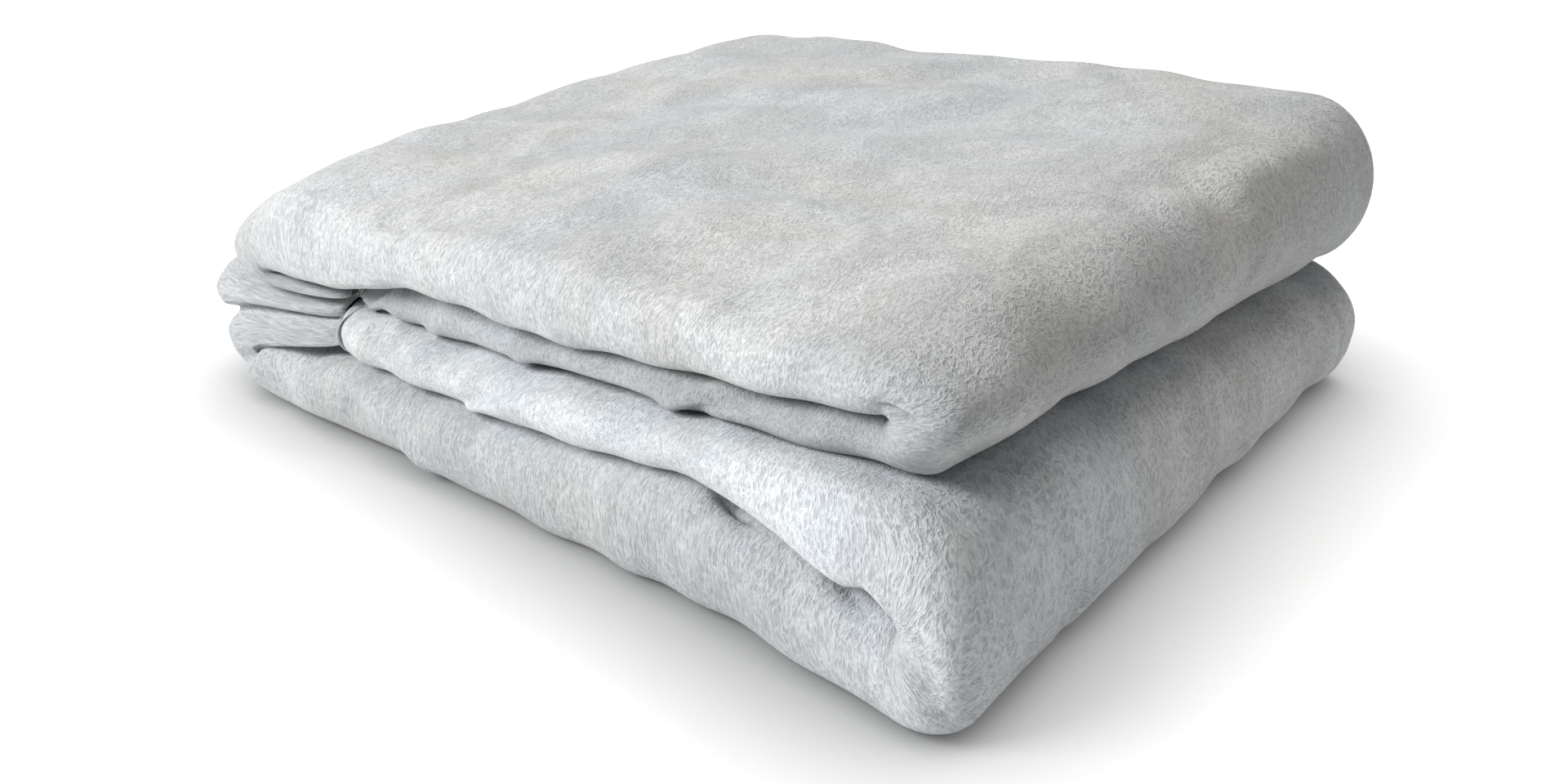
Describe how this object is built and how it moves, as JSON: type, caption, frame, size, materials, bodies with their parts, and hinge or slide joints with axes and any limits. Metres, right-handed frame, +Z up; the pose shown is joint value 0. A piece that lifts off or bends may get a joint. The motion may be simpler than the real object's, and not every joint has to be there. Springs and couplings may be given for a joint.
{
  "type": "folded throw blanket",
  "caption": "Light grey double-sided plush throw blanket, folded into a thick rectangular stack with soft rounded edges, ready to lie on a shelf, bed or sofa.",
  "frame": {"origin": "centre of the folded stack's footprint, on the surface that it lies on", "axes": "+X along the folded bands, from the wide spine fold to the two rolled folds; +Y from the bends of the plies to the side hems; +Z up through the stack"},
  "size_m": [0.4086, 0.322, 0.1158],
  "materials": {
    "plush_face": "long soft plush pile, matt, with cloudy nap",
    "plush_back": "short plush pile, matt",
    "hem_binding": "flat self-coloured fleece binding, matt",
    "seam_thread": "polyester sewing thread, soft sheen",
    "satin_label": "blank white woven satin, soft sheen"
  },
  "bodies": {
    "root": {"face_cloth": "plush_face", "back_cloth": "plush_back", "first_side_hem_binding": "hem_binding", "second_side_hem_binding": "hem_binding", "first_end_hem_binding": "hem_binding", "second_end_hem_binding": "hem_binding", "first_side_hem_thread": "seam_thread", "second_side_hem_thread": "seam_thread", "first_end_hem_thread": "seam_thread", "second_end_hem_thread": "seam_thread", "care_label": "satin_label"}
  },
  "joints": []
}
